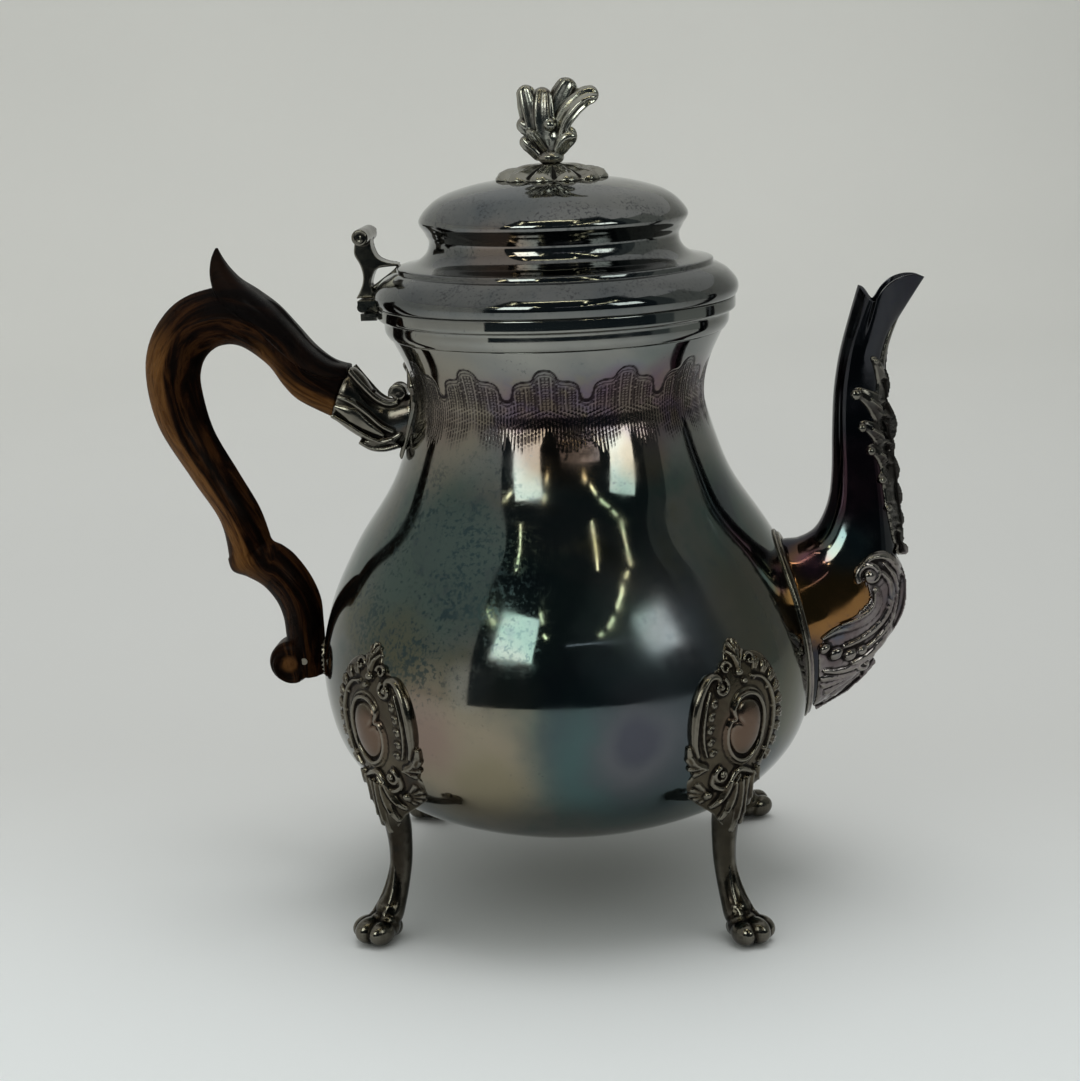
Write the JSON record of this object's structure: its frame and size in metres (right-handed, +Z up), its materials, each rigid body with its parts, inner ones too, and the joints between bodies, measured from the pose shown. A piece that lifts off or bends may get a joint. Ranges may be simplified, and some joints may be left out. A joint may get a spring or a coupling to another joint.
{
  "type": "coffee pot",
  "caption": "Footed pear-shaped silver coffee pot with hinged domed lid, leaf finial, swan-neck spout and carved hardwood scroll handle, on cast paw-footed legs with cartouches.",
  "frame": {"origin": "on the table, in the middle of the outer box; the pot's own axis of revolution stands 10.2 mm from it towards the spout", "axes": "+Z up, +X towards the spout, -X towards the handle, -Y towards the side seen in the picture"},
  "size_m": [0.2473, 0.159, 0.2599],
  "materials": {
    "toned_silver": "polished",
    "cast_silver": "satin",
    "hardwood": "satin"
  },
  "bodies": {
    "pot": {"body_shell": "toned_silver", "neck_rim": "toned_silver", "body_hinge_leaf": "cast_silver", "hinge_pin": "cast_silver", "handle": "hardwood", "handle_socket": "cast_silver", "handle_backplate": "cast_silver", "handle_upper_pin": "cast_silver", "handle_lower_plate": "cast_silver", "handle_lower_peg": "cast_silver", "handle_lower_pin": "cast_silver", "spout": "toned_silver", "spout_collar": "cast_silver", "spout_acanthus": "cast_silver", "spout_rocaille": "cast_silver", "leg_front_left": "cast_silver", "leg_front_right": "cast_silver", "leg_rear_left": "cast_silver", "leg_rear_right": "cast_silver", "cartouche_front_left": "cast_silver", "cartouche_front_right": "cast_silver", "cartouche_rear_left": "cast_silver", "cartouche_rear_right": "cast_silver"},
    "lid": {"lid_shell": "toned_silver", "lid_bezel": "toned_silver", "finial": "cast_silver", "finial_rosette": "cast_silver", "finial_stud": "cast_silver", "finial_nut": "cast_silver", "thumbpiece": "cast_silver", "lid_hinge_leaf": "cast_silver"}
  },
  "joints": [
    {"name": "lid_hinge", "type": "hinge", "parent": "pot", "child": "lid", "pos_m": [-0.0501, 0, 0.1917], "axis": [0, -1, 0], "range_deg": [0, 90]}
  ]
}
